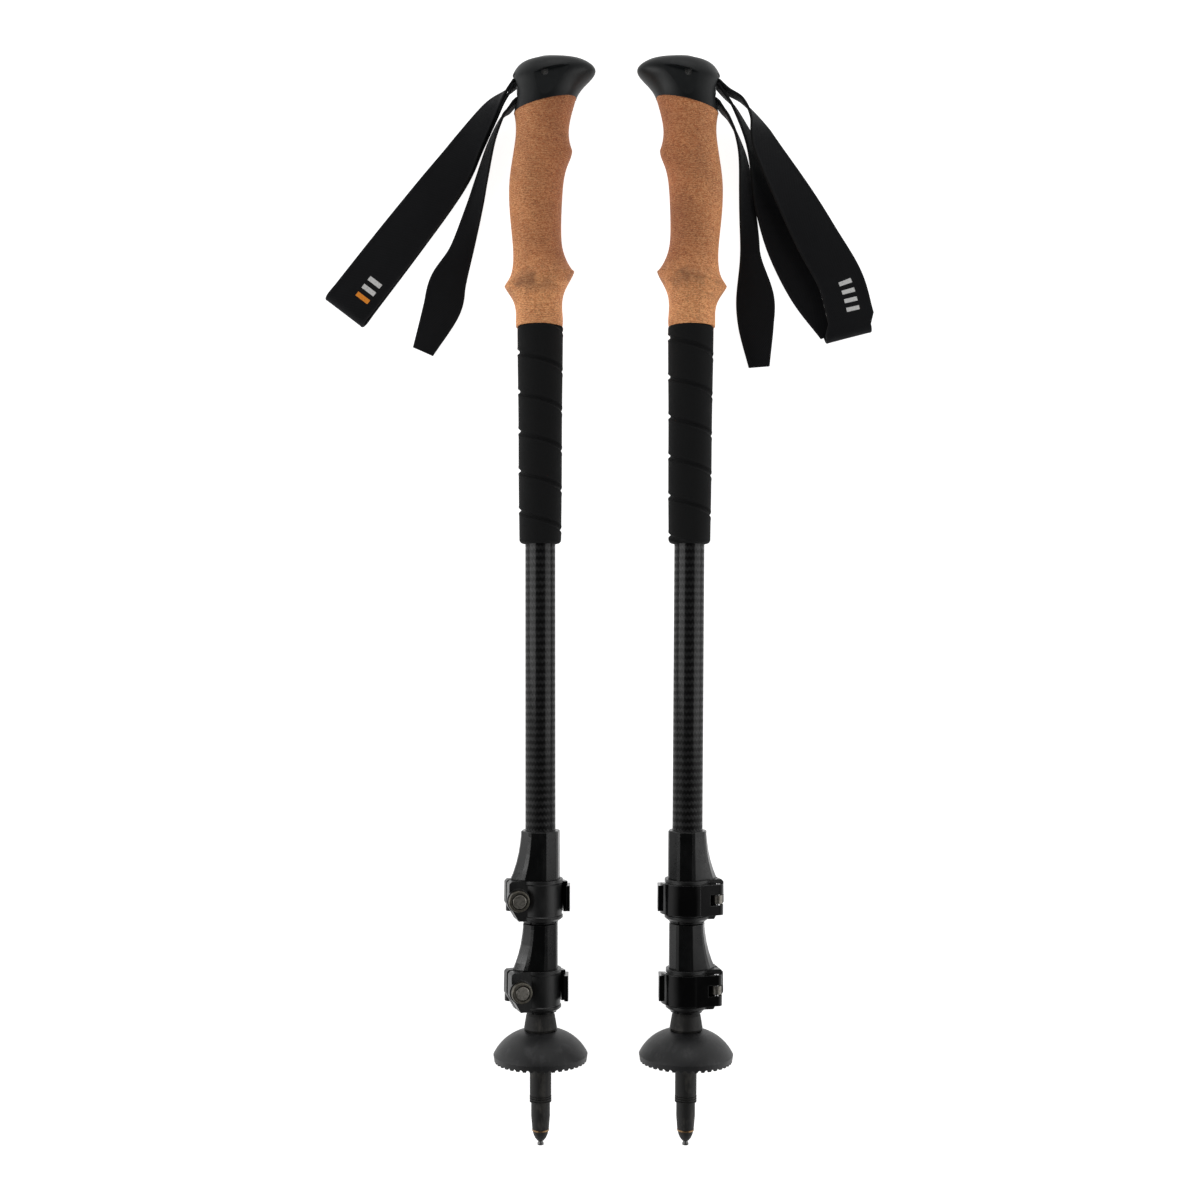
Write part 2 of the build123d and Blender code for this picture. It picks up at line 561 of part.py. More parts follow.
def strap_pin():
    length = 2 * (HEAD_HALF_WIDTH - 1.4 - STRAP_PIN_INSET)
    x, z = STRAP_PIN_AT
    return along_y(STRAP_PIN_R, -length / 2, length / 2, x, CORK_Z + z)


def strap_turn():
    """The webbing inside the head, turned round the pin between its two legs."""
    x, z = STRAP_PIN_AT
    inner_r = STRAP_PIN_R + GLUE_GAP
    outer_r = inner_r + WEB
    profile = Pos(x, z) * (Circle(outer_r) - Circle(inner_r))
    for rise, near, far in ((LOOP_LEG_RISE, inner_r, outer_r), (TAIL_LEG_RISE, -outer_r, -inner_r)):
        end = [(WEB_INSIDE_X, rise + WEB / 2), (WEB_INSIDE_X, rise - WEB / 2)]
        profile += make_face(Polyline(*end, (x, z + near), (x, z + far), close=True))
    return Pos(0, 0, CORK_Z) * extrude(Plane.XZ * profile, WEB_WIDTH / 2, both=True)


def strap_wedge():
    """The block in the slot's mouth that pinches the webbing."""
    outline = make_face(Polyline(*WEDGE, close=True))
    return Pos(0, 0, CORK_Z) * extrude(Plane.XZ * outline, WEB_WIDTH / 2, both=True)


# ---- one pole, upright ----
def pole(side):
    parts = {
        "grip_head": grip_head(),
        "cork_grip": cork_grip(),
        "foam_grip": foam_grip(),
        "strap_pin": strap_pin(),
        "strap_wedge": strap_wedge(),
        "strap_turn": strap_turn(),
        "upper_tube": upper_tube(),
        "middle_tube": middle_tube(),
        "lower_tube": lower_tube(),
        "middle_bushing": bushing(LOWER_OD / 2 + SLIDE_GAP, MIDDLE_OD / 2 + SLIDE_GAP, MIDDLE_TOP_Z),
        "lower_bushing": bushing(LOWER_OD / 2 - TUBE_WALL, LOWER_OD / 2 + SLIDE_GAP, LOWER_TOP_Z),
        "tip_holder": tip_holder(),
        "tip_ring": tip_ring(),
        "carbide_tip": carbide_tip(),
        "basket": basket(),
    }
    clamps = [
        ("upper", UPPER_CLAMP_TURN, UPPER_OD, MIDDLE_OD, UPPER_CLAMP_Z, UPPER_SLEEVE),
        ("lower", LOWER_CLAMP_TURN[side], MIDDLE_OD, LOWER_OD, LOWER_CLAMP_Z, LOWER_SLEEVE),
    ]
    for name, angle, outer_od, inner_od, clamp_z, height in clamps:
        turn = Rot(0, 0, angle)
        parts[name + "_sleeve"] = turn * sleeve(outer_od, inner_od, clamp_z, height)
        parts[name + "_collar"] = turn * collar(inner_od, clamp_z)
        parts[name + "_tension_bolt"] = turn * tension_bolt(clamp_z)
        parts[name + "_tension_knob"] = turn * tension_knob(clamp_z)
        parts[name + "_lever_pivot"] = turn * lever_pivot(clamp_z)
        parts[name + "_lever"] = turn * lever(inner_od, clamp_z, angle)
    return parts


def laid_down(side):
    """Where a pole lies: strap side out, resting on basket and head."""
    down = Rot(-TILT, 0, 0) * Rot(-90, 0, 0)
    if side == "right":
        down = down * Rot(0, 0, 180)
    middle = HEAD_TOP_Z * cos(radians(TILT)) / 2
    return Pos(TIP_X[side], -middle, TIP_HEIGHT) * Rot(0, 0, YAW[side]) * down


def placed_point(side, x, y, z):
    return (laid_down(side) * Pos(x, y, z)).position


def placed_direction(side, x, y, z):
    return placed_point(side, x, y, z) - placed_point(side, 0, 0, 0)


# ---- straps, where they lie ----
def along_stations(side, stations, layer=0):
    """Centre, direction, width vector and width of the webbing at each station of one layer."""
    root = placed_point(side, MOUTH_X, 0, MOUTH_Z)
    out = -1 if side == "left" else 1
    centres = []
    for away, down, height, *_ in stations:
        centres.append(Vector(root.X + out * away, root.Y - down, root.Z if height is None else height))
    frames = []
    for i, (_, _, _, width, twist, *gap) in enumerate(stations):
        before = centres[max(i - 1, 0)]
        after = centres[min(i + 1, len(centres) - 1)]
        run = (after - before).normalized()
        inward = Vector(out * run.Y, -out * run.X, 0).normalized()
        rise = inward.cross(run) * out
        wide = inward * cos(radians(twist)) + rise * sin(radians(twist))
        offset = layer * (WEB + gap[0]) / 2 if gap else 0
        frames.append((centres[i] + wide.cross(run) * out * offset, run, wide, width))
    return frames


def webbing(frames):
    """A flat band of webbing through its frames, as one closed solid."""
    sections = []
    for centre, run, wide, width in frames:
        sections.append(Plane(origin=centre, x_dir=wide, z_dir=run) * Rectangle(width, WEB))
    return loft(sections, ruled=True)


def strap_loop(over, under):
    """Both legs of the wrist loop and the fold that joins them at the far end."""
    last, run, wide, width = over[-1]
    low = under[-1][0]
    run = Vector(run.X, run.Y, 0).normalized()
    wide = Vector(wide.X, wide.Y, 0).normalized()
    height = FLOOR_GAP + WEB / 2 + FOLD_R
    bend = Vector((last.X + low.X) / 2, (last.Y + low.Y) / 2, height) + run * FOLD_LENGTH
    fold = []
    for angle in range(0, 181, 45):
        turn = radians(angle)
        place = bend + run * (FOLD_R * sin(turn)) + Vector(0, 0, FOLD_R * cos(turn))
        fold.append((place, run * cos(turn) - Vector(0, 0, sin(turn)), wide, width))
    back = [(centre, heading * -1, across, broad) for centre, heading, across, broad in reversed(under)]
    return webbing(over + fold + back)


def build():
    made = {}
    for side in ("left", "right"):
        place = laid_down(side)
        for name, solid in pole(side).items():
            made[f"{side}_{name}"] = place * solid
    over, under = along_stations("left", LEFT_LOOP, 1), along_stations("left", LEFT_LOOP, -1)
    made["left_strap_loop"] = strap_loop(over, under)
    over, under = along_stations("right", RIGHT_UPPER), along_stations("right", RIGHT_LOWER)
    made["right_strap_loop"] = strap_loop(over, under)
    for side, stations in (("left", LEFT_TAIL), ("right", RIGHT_TAIL)):
        made[f"{side}_strap_tail"] = webbing(along_stations(side, stations))
    return made


if __name__ == "__main__":
    for node, solid in build().items():
        export_step(solid, f"parts/{node}.step")
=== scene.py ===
"""The looks of a pair of trekking poles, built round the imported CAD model.

Cork, moulded parts, tubes and clamps are the CAD nodes with worked materials. The foam grips and
the wrist straps are made here and stand for their CAD solids.
"""

import json
from math import atan2, cos, exp, pi, radians, sin, sqrt

import bpy
import numpy as np
from mathutils import Matrix, Vector


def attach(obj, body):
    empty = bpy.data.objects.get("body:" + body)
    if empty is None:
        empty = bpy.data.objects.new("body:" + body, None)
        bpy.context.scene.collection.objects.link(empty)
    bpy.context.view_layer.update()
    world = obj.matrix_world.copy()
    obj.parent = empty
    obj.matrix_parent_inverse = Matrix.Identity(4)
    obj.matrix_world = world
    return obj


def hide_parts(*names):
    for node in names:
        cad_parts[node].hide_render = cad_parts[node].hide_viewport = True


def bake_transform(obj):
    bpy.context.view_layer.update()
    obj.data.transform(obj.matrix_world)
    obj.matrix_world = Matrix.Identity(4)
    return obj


MM = 0.001

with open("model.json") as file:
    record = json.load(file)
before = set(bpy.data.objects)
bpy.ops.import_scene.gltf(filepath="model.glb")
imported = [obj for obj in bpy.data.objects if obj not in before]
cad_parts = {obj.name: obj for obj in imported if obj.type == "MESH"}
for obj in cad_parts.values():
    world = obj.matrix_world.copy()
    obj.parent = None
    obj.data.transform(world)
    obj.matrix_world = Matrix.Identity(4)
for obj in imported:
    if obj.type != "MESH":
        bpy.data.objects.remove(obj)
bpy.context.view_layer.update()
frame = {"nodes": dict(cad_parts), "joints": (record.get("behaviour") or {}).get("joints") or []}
joints = {joint["name"]: joint for joint in frame["joints"]}
SIDES = ("left", "right")

# ---- sizes, in millimetres along a pole from its tip ----
BASKET_PLANE = 49.8
CORK_FOOT = 487.3
FOAM_FOOT = 357.0
FOAM_LENGTH = 130.3
FOAM_TOP_R = 13.7
FOAM_BOTTOM_R = 12.5
FOAM_BORE_R = 9.05
GROOVE_PITCH = 23.75
GROOVE_DEPTH = 1.25
GROOVE_HALF = 1.25
# height of the first turn of the groove over the foam's foot, on the beak side
GROOVE_START = {"left": 103.4, "right": 100.1}
GROOVE_LIP = 0.16  # the foam swells a little on both sides of the groove
GROOVE_LIP_AT = 1.9
GROOVE_LIP_HALF = 0.9
FOOT_ROUND = 2.6
BRIM_ROUND = 1.2
BRIM_DROP = 0.7

RIDGE_AT = CORK_FOOT + 26.0  # the flared stop under the hand
RIDGE_SLOPE = 0.27
DARK_BAND_FROM = CORK_FOOT + 23.0  # the cork above this is darker, with painted shade across the pole
DARK_BAND_TO = CORK_FOOT + 42.0
RING_PITCH = 0.00105  # lathe rings, in metres

STRAP_THICK = 1.5
SLOT_WIDTH = 12.0  # the strap's width in the head
EDGE_ROUND = 0.55
SELVEDGE = 1.5
SELVEDGE_RISE = 0.12
SELVEDGE_AT = 0.9
SELVEDGE_HALF = 0.5
PIN_AT = (3.4, 149.0)
PIN_R = 2.0
MOUTH_X = -16.5
MOUTH_RISE = 146.7
TAIL_DROP = 11.5
MOUTH_DEPTH = 2.2  # where the strap inside the head meets the strap outside it

# Stations of a strap: how far out from the slot, how far down along the pole, height of its middle
# over the ground, width, and twist in degrees away from lying flat. None is the slot's own height.
LEFT_OVER = [
    (-1, -1.2, None, 12, 90),
    (4, 3.9, 16.2, 12, 74),
    (13.3, 13.4, 13.2, 14, 36),
    (26.1, 31, 8.7, 18, 12),
    (36, 46.3, 5.8, 23, 3),
    (47.9, 62.5, 4.6, 26, 0),
    (72.1, 94.5, 6.3, 28, 0),
    (97, 127.2, 8.2, 28.6, 0),
]
LEFT_UNDER = [
    (-1, 1.2, None, 12, 90),
    (3.4, 6.2, 15.6, 12, 72),
    (12.5, 15.1, 11.9, 14, 37),
    (25.4, 32.3, 6.4, 18, 13),
    (35.8, 47.5, 3.2, 23, 3),
    (48.3, 63.4, 1.1, 26, 0),
    (72.8, 95.1, 1.0, 28, 0),
    (97.6, 127.4, 1.0, 28.6, 0),
]
RIGHT_OVER = [
    (-1, -1.2, None, 12, 90),
    (5, 4, 16.4, 12, 88),
    (13.5, 9, 15.5, 12, 84),
    (20.5, 18, 14, 14, 64),
    (25, 28, 12.5, 17, 35),
    (30, 38.5, 11.5, 20, 25),
    (46.6, 67, 9.0, 25, 12),
    (60, 91, 7.5, 27.5, 5),
    (74, 116, 7.5, 28.4, 2),
    (80.3, 139.1, 8.6, 28.6, 0),
]
RIGHT_UNDER = [
    (-1, 1.2, None, 12, 90),
    (2.6, 5.8, 16.0, 12, 84),
    (8.3, 12.3, 14.5, 12, 74),
    (15.2, 24, 11.5, 12, 62),
    (20.8, 35.5, 8.8, 13, 48),
    (25.6, 50.5, 5.8, 15, 30),
    (30.6, 70, 3.2, 17, 10),
    (40.8, 94, 1.0, 22, 0),
    (56, 120, 1.0, 26, 0),
    (74, 141.5, 1.0, 28.6, 0),
]
LEFT_TAIL = [
    (-1, TAIL_DROP, None, 12, 90),
    (2.4, 15.7, 16.2, 12, 86),
    (6.9, 20.3, 15, 12, 76),
    (13.4, 34.1, 11, 12, 65),
    (19.7, 55.1, 6.5, 12, 45),
    (23.9, 70, 3.8, 12, 25),
    (32.3, 96.7, 1.0, 15, 0),
    (40.5, 116, 1.0, 22.6, 0),
    (44.4, 132.2, 1.0, 23.2, 0),
    (55.9, 158.4, 1.0, 13.5, 0),
]
RIGHT_TAIL = [
    (-1, TAIL_DROP, None, 12, 90),
    (1.8, 15.5, 16.2, 12, 88),
    (6, 20.6, 15, 12, 82),
    (10.7, 30, 13, 12, 76),
    (14.8, 43.7, 9.5, 12, 60),
    (17.1, 63.5, 5.2, 12, 38),
    (19.3, 88.2, 1.8, 12, 8),
    (20.1, 101.7, 1.0, 13.5, 0),
    (22.8, 124.7, 1.0, 23.3, 0),
    (23.4, 143.3, 1.0, 21.7, 0),
    (25.3, 167.7, 1.0, 12.9, 0),
]
STRAPS = {
    "left": (LEFT_UNDER, LEFT_OVER, LEFT_TAIL),
    "right": (RIGHT_UNDER, RIGHT_OVER, RIGHT_TAIL),
}
FOLD_R = 3.8
FOLD_LENGTH = 6.0
FLOOR_GAP = 0.2


def pole_frame(side):
    """A pole's own frame: tip end at the origin, grip along +Z, strap side on -X."""
    turn = joints[side + "_basket_turn"]
    up = Vector(turn["axis"]).normalized()
    over = Vector((0, 0, -1 if side == "left" else 1))
    across = over.cross(up).normalized()
    depth = up.cross(across)
    origin = Vector(turn["pos_m"]) - up * BASKET_PLANE * MM
    spin = Matrix((across, depth, up)).transposed()
    return Matrix.Translation(origin) @ spin.to_4x4()


POLE = {side: pole_frame(side) for side in SIDES}


# ---- shader building ----
class Tree:
    """Shorthand for laying out a node tree."""

    def __init__(self, tree):
        self.tree = tree
        self.nodes = tree.nodes
        self.links = tree.links

    def add(self, kind, inputs=None, **settings):
        node = self.nodes.new(kind)
        for name, value in settings.items():
            setattr(node, name, value)
        for name, value in (inputs or {}).items():
            self.put(value, node.inputs[name])
        return node

    def put(self, value, socket):
        if isinstance(value, bpy.types.NodeSocket):
            self.links.new(value, socket)
        else:
            socket.default_value = value

    def math(self, operation, *values, clamp=False):
        node = self.add("ShaderNodeMath", operation=operation, use_clamp=clamp)
        for value, socket in zip(values, node.inputs):
            self.put(value, socket)
        return node.outputs[0]

    def vector(self, operation, *values):
        node = self.add("ShaderNodeVectorMath", operation=operation)
        for value, socket in zip(values, node.inputs):
            self.put(value, socket)
        return node.outputs["Value" if operation in ("LENGTH", "DOT_PRODUCT") else "Vector"]

    def mix(self, amount, a, b, blend="MIX"):
        node = self.add("ShaderNodeMix", data_type="RGBA", blend_type=blend)
        for value, name in ((amount, "Factor_Float"), (a, "A_Color"), (b, "B_Color")):
            socket = next(s for s in node.inputs if s.identifier == name)
            self.put(value, socket)
        return next(s for s in node.outputs if s.identifier == "Result_Color")

    def spread(self, value, low, high, to_low=0.0, to_high=1.0):
        """value stretched from low..high to to_low..to_high, and held inside."""
        inputs = {"Value": value, "From Min": low, "From Max": high}
        inputs.update({"To Min": to_low, "To Max": to_high})
        return self.add("ShaderNodeMapRange", inputs, clamp=True).outputs["Result"]

    def noise(self, vector, scale, detail=3.0, roughness=0.5):
        inputs = {"Vector": vector, "Scale": scale, "Detail": detail, "Roughness": roughness}
        return self.add("ShaderNodeTexNoise", inputs).outputs["Fac"]

    def cells(self, vector, scale, feature="F1"):
        return self.add("ShaderNodeTexVoronoi", {"Vector": vector, "Scale": scale}, feature=feature)

    def group(self, made, **values):
        node = self.add("ShaderNodeGroup", node_tree=made)
        for name, value in values.items():
            self.put(value, node.inputs[name.replace("_", " ")])
        return node.outputs


SOCKETS = {"float": "NodeSocketFloat", "vector": "NodeSocketVector", "color": "NodeSocketColor"}


def new_group(name, takes, gives):
    """An empty node group, and its tree, its inputs and its output node."""
    group = bpy.data.node_groups.new(name, "ShaderNodeTree")
    for label, kind, value in takes:
        socket = group.interface.new_socket(label, in_out="INPUT", socket_type=SOCKETS[kind])
        socket.default_value = value
    for label, kind in gives:
        group.interface.new_socket(label, in_out="OUTPUT", socket_type=SOCKETS[kind])
    tree = Tree(group)
    return group, tree, tree.add("NodeGroupInput").outputs, tree.add("NodeGroupOutput").inputs


def speckle_group():
    """Colour from grains of three tones, as in pressed cork."""
    group, t, take, give = new_group(
        "speckle",
        [
            ("Vector", "vector", (0, 0, 0)),
            ("Grain", "float", 900.0),
            ("Light", "color", (1, 1, 1, 1)),
            ("Middle", "color", (0.5, 0.5, 0.5, 1)),
            ("Dark", "color", (0, 0, 0, 1)),
        ],
        [("Color", "color"), ("Height", "float"), ("Pits", "float")],
    )
    shift = t.add("ShaderNodeTexNoise", {"Vector": take["Vector"], "Scale": 700.0, "Detail": 2.0})
    bend = (0.0012, 0.0012, 0.0012)
    bent = t.vector("MULTIPLY_ADD", shift.outputs["Color"], bend, take["Vector"])
    grains = t.cells(bent, take["Grain"])
    tone = t.add("ShaderNodeSeparateColor", {"Color": grains.outputs["Color"]}).outputs
    fine = t.noise(take["Vector"], 2600.0, 4.0, 0.65)
    color = t.mix(t.spread(tone["Red"], 0.1, 0.9), take["Middle"], take["Light"])
    dark = t.math("MULTIPLY", t.spread(tone["Green"], 0.80, 0.92), t.spread(fine, 0.35, 0.6))
    color = t.mix(t.math("MULTIPLY", dark, 0.75), color, take["Dark"])
    color = t.mix(t.spread(fine, 0.45, 0.75, 0.0, 0.3), color, take["Dark"])
    edge = t.cells(bent, take["Grain"], "DISTANCE_TO_EDGE").outputs["Distance"]
    pits = t.spread(t.noise(take["Vector"], 520.0, 3.0), 0.66, 0.74)
    height = t.math("ADD", t.spread(edge, 0.0, 0.08), t.math("MULTIPLY", fine, 0.7))
    t.put(color, give["Color"])
    t.put(t.math("SUBTRACT", height, t.math("MULTIPLY", pits, 1.2)), give["Height"])
    t.put(pits, give["Pits"])
    return group


def weave_group():
    """A two-by-two twill of flat tows over a surface laid out in metres."""
    group, t, take, give = new_group(
        "twill weave",
        [("Across", "float", 0.0), ("Along", "float", 0.0), ("Tow", "float", 0.0015)],
        [("Over", "float"), ("Height", "float"), ("Tone", "float")],
    )
    u = t.math("DIVIDE", take["Across"], take["Tow"])
    v = t.math("DIVIDE", take["Along"], take["Tow"])
    i, j = t.math("FLOOR", u), t.math("FLOOR", v)
    step = t.math("FLOORED_MODULO", t.math("ADD", i, j), 4.0)
    over = t.math("LESS_THAN", step, 1.5)
    arch_u = t.math("SINE", t.math("MULTIPLY", t.math("FRACT", u), pi))
    arch_v = t.math("SINE", t.math("MULTIPLY", t.math("FRACT", v), pi))
    lengthwise = t.math("MULTIPLY", over, arch_u)
    crosswise = t.math("MULTIPLY", t.math("SUBTRACT", 1.0, over), arch_v)
    seed = t.add("ShaderNodeCombineXYZ", {"X": i, "Y": j, "Z": over}).outputs["Vector"]
    tone = t.add("ShaderNodeTexWhiteNoise", {"Vector": seed}, noise_dimensions="3D")
    t.put(over, give["Over"])
    t.put(t.math("ADD", lengthwise, crosswise), give["Height"])
    t.put(tone.outputs["Value"], give["Tone"])
    return group


def wear_group():
    """Where edges are rubbed and where dust and scuffs lie."""
    group, t, take, give = new_group(
        "wear",
        [
            ("Vector", "vector", (0, 0, 0)),
            ("Edge", "float", 0.0004),
            ("Scuff Size", "float", 160.0),
        ],
        [("Rubbed Edge", "float"), ("Scuffs", "float"), ("Soft Normal", "vector")],
    )
    bevel = t.add("ShaderNodeBevel", {"Radius": take["Edge"]}, samples=6)
    flat = t.add("ShaderNodeNewGeometry").outputs["Normal"]
    facing = t.vector("DOT_PRODUCT", bevel.outputs["Normal"], flat)
    edge = t.spread(facing, 0.985, 0.86)
    broken = t.spread(t.noise(take["Vector"], 420.0, 4.0, 0.6), 0.38, 0.62)
    stretched = t.vector("MULTIPLY", take["Vector"], (1.0, 0.35, 1.0))
    scuffs = t.spread(t.noise(stretched, take["Scuff Size"], 5.0, 0.62), 0.52, 0.78)
    t.put(t.math("MULTIPLY", edge, broken), give["Rubbed Edge"])
    t.put(scuffs, give["Scuffs"])
    t.put(bevel.outputs["Normal"], give["Soft Normal"])
    return group


def moulding_group():
    """The fine spark-eroded grain of a moulded part."""
    group, t, take, give = new_group(
        "moulded grain",
        [("Vector", "vector", (0, 0, 0)), ("Grain", "float", 3000.0)],
        [("Height", "float"), ("Mottle", "float")],
    )
    coarse = t.noise(take["Vector"], take["Grain"], 2.0)
    fine = t.noise(take["Vector"], t.math("MULTIPLY", take["Grain"], 2.7), 2.0)
    t.put(t.math("ADD", coarse, t.math("MULTIPLY", fine, 0.5)), give["Height"])
    t.put(t.noise(take["Vector"], 90.0, 4.0, 0.6), give["Mottle"])
    return group


def round_group():
    """Distance round a pole and height along it, in metres, from a place in its own frame."""
    group, t, take, give = new_group(
        "round the pole",
        [("Vector", "vector", (0, 0, 0)), ("Radius", "float", 0.009)],
        [("Around", "float"), ("Along", "float")],
    )
    place = t.add("ShaderNodeSeparateXYZ", {"Vector": take["Vector"]}).outputs
    turn = t.math("ARCTAN2", place["Y"], place["X"])
    t.put(t.math("MULTIPLY", turn, take["Radius"]), give["Around"])
    t.put(place["Z"], give["Along"])
    return group


SPECKLE = speckle_group()
WEAVE = weave_group()
WEAR = wear_group()
MOULDING = moulding_group()
ROUND = round_group()


def new_material(name):
    """A material with one Principled shader, its tree and the object's own coordinates."""
    material = bpy.data.materials.new(name)
    material.use_nodes = True
    tree = Tree(material.node_tree)
    shader = material.node_tree.nodes["Principled BSDF"]
    place = tree.add("ShaderNodeTexCoord").outputs["Object"]
    return material, tree, shader, place


def in_pole(tree, place, side):
    """Object coordinates turned into the pole's own frame."""
    location, spin, _ = POLE[side].decompose()
    mapping = tree.add("ShaderNodeMapping", {"Vector": place}, vector_type="TEXTURE")
    mapping.inputs["Location"].default_value = location
    mapping.inputs["Rotation"].default_value = spin.to_euler()
    return mapping.outputs["Vector"]


def bump(tree, height, depth, strength=1.0, normal=None):
    """A normal that follows a height of 0 to 1, depth metres deep."""
    inputs = {"Height": height, "Distance": depth, "Strength": strength}
    if normal is not None:
        inputs["Normal"] = normal
    return tree.add("ShaderNodeBump", inputs).outputs["Normal"]


def rgb(red, green, blue):
    """An opaque colour."""
    return (red, green, blue, 1.0)


# ---- materials ----
def cork(side):
    """Pressed cork, turned on a lathe: grains, pits and fine rings, with painted shade in blotches
    along the flared ridge and a darker band above it.
    """
    material, t, shader, place = new_material(side + " cork")
    local = in_pole(t, place, side)
    speckle = t.group(
        SPECKLE,
        Vector=t.vector("MULTIPLY", local, (1.0, 1.0, 1.9)),
        Grain=1150.0,
        Light=rgb(1.0, 0.50, 0.215),
        Middle=rgb(0.66, 0.235, 0.082),
        Dark=rgb(0.19, 0.068, 0.028),
    )
    along = t.group(ROUND, Vector=local, Radius=0.015)["Along"]
    beak = t.add("ShaderNodeSeparateXYZ", {"Vector": local}).outputs["X"]
    held = t.spread(along, DARK_BAND_FROM * MM, DARK_BAND_TO * MM)
    # held marks the band above the ridge, which is darkened; across the pole the darkening is
    # painted shade, lightest at the strap-side edge and deepest on the beak side
    band_painted_shade = t.math("MULTIPLY", held, t.spread(beak, -0.013, 0.010, 0.45, 1.0))
    crest = t.math("ADD", t.math("MULTIPLY", beak, RIDGE_SLOPE), RIDGE_AT * MM)
    ridge = t.math("ABSOLUTE", t.math("SUBTRACT", along, crest))
    blotches = t.spread(t.noise(place, 95.0, 4.0, 0.6), 0.42, 0.62)
    # painted shade along the slanted ridge, broken into blotches, fading out over 10 mm to each
    # side
    ridge_painted_shade = t.math("MULTIPLY", t.spread(ridge, 0.010, 0.001), blotches)
    sway = t.math("MULTIPLY", t.noise(place, 160.0, 2.0), 0.0012)
    rings = t.math("SINE", t.math("MULTIPLY", t.math("ADD", along, sway), 2 * pi / RING_PITCH))
    rings = t.spread(rings, -1.0, 1.0)
    banks = t.spread(t.noise(local, 38.0, 2.0), 0.35, 0.62)
    smudge = t.spread(t.noise(place, 55.0, 4.0, 0.6), 0.45, 0.8)
    color = t.mix(t.math("MULTIPLY", smudge, 0.35), speckle["Color"], rgb(0.30, 0.115, 0.045))
    ringed = t.math("MULTIPLY", t.math("MULTIPLY", rings, banks), 0.45)
    color = t.mix(ringed, color, rgb(0.22, 0.085, 0.035))
    # the ridge's painted shade
    color = t.mix(t.math("MULTIPLY", ridge_painted_shade, 0.6), color, rgb(0.16, 0.07, 0.035))
    # multiplies in the darker band and its painted shade
    color = t.mix(band_painted_shade, color, rgb(0.62, 0.53, 0.50), "MULTIPLY")
    t.put(color, shader.inputs["Base Color"])
    t.put(t.spread(speckle["Pits"], 0.0, 1.0, 0.66, 0.85), shader.inputs["Roughness"])
    shader.inputs["Specular IOR Level"].default_value = 0.32
    grain = bump(t, speckle["Height"], 0.00012, 0.7)
    turned = t.math("MULTIPLY", rings, t.math("ADD", t.math("MULTIPLY", banks, 0.8), 0.2))
    t.put(bump(t, turned, 0.00009, 0.9, grain), shader.inputs["Normal"])
    return material


def carbon(side, radius):
    """Woven carbon under clear lacquer, with a painted sheen on the tows that lie on top."""
    material, t, shader, place = new_material(f"{side} carbon {radius:g}")
    local = in_pole(t, place, side)
    around = t.group(ROUND, Vector=local, Radius=radius * MM)
    slant_u = t.math("ADD", around["Around"], around["Along"])
    slant_v = t.math("SUBTRACT", around["Along"], around["Around"])
    weave = t.group(WEAVE, Across=slant_u, Along=slant_v, Tow=0.0021)
    fibres = t.noise(t.vector("MULTIPLY", local, (5200.0, 5200.0, 900.0)), 1.0, 2.0)
    # the tows lying on top are painted lighter, tow by tow: a painted sheen standing for their
    # reflection
    lit = t.math("MULTIPLY", weave["Over"], t.spread(weave["Tone"], 0.0, 1.0, 0.55, 1.0))
    color = t.mix(lit, rgb(0.0008, 0.0008, 0.0009), rgb(0.021, 0.021, 0.0215))
    color = t.mix(t.spread(fibres, 0.4, 0.7, 0.0, 0.35), color, rgb(0.004, 0.004, 0.004))
    t.put(color, shader.inputs["Base Color"])
    t.put(t.spread(weave["Over"], 0.0, 1.0, 0.55, 0.32), shader.inputs["Roughness"])
    shader.inputs["Specular IOR Level"].default_value = 0.08
    t.put(bump(t, weave["Height"], 0.00009, 1.0), shader.inputs["Normal"])
    shader.inputs["Coat Weight"].default_value = 0.16
    shader.inputs["Coat Roughness"].default_value = 0.12
    shader.inputs["Coat IOR"].default_value = 1.48
    return material


def foam_material():
    """Closed-cell foam: matt, with a skin of tiny cells."""
    material, t, shader, place = new_material("foam")
    cells = t.cells(place, 2300.0).outputs["Distance"]
    mottle = t.noise(place, 120.0, 4.0, 0.6)
    dark, light = rgb(0.0036, 0.0038, 0.004), rgb(0.0075, 0.0078, 0.008)
    color = t.mix(t.spread(mottle, 0.3, 0.7), dark, light)
    color = t.mix(t.spread(cells, 0.25, 0.6, 0.0, 0.4), color, rgb(0.002, 0.002, 0.002))
    t.put(color, shader.inputs["Base Color"])
    t.put(t.spread(mottle, 0.3, 0.7, 0.82, 0.95), shader.inputs["Roughness"])
    shader.inputs["Specular IOR Level"].default_value = 0.18
    t.put(bump(t, cells, 0.00009, 0.6), shader.inputs["Normal"])
    return material


def moulded(name, color, worn, roughness, gloss=0.3, grain=2600.0, depth=0.00003, scuffed=0.3):
    """A moulded plastic part, with rubbed edges and faint scuffs."""
    material, t, shader, place = new_material(name)
    wear = t.group(WEAR, Vector=place, Edge=0.0004)
    skin = t.group(MOULDING, Vector=place, Grain=grain)
    darker = rgb(*(0.75 * c for c in color))
    mottled = t.mix(t.spread(skin["Mottle"], 0.3, 0.7), darker, rgb(*color))
    scuff = t.math("MULTIPLY", wear["Scuffs"], scuffed)
    marked = t.mix(scuff, mottled, rgb(*worn))
    rubbed = t.math("MULTIPLY", wear["Rubbed Edge"], 0.55)
    t.put(t.mix(rubbed, marked, rgb(*worn)), shader.inputs["Base Color"])
    uneven = t.spread(skin["Mottle"], 0.25, 0.75, roughness - 0.06, roughness + 0.06)
    rough = t.math("ADD", uneven, t.math("MULTIPLY", scuff, 0.12))
    t.put(rough, shader.inputs["Roughness"])
    shader.inputs["Specular IOR Level"].default_value = gloss
    t.put(bump(t, skin["Height"], depth, 0.6, wear["Soft Normal"]), shader.inputs["Normal"])
    return material


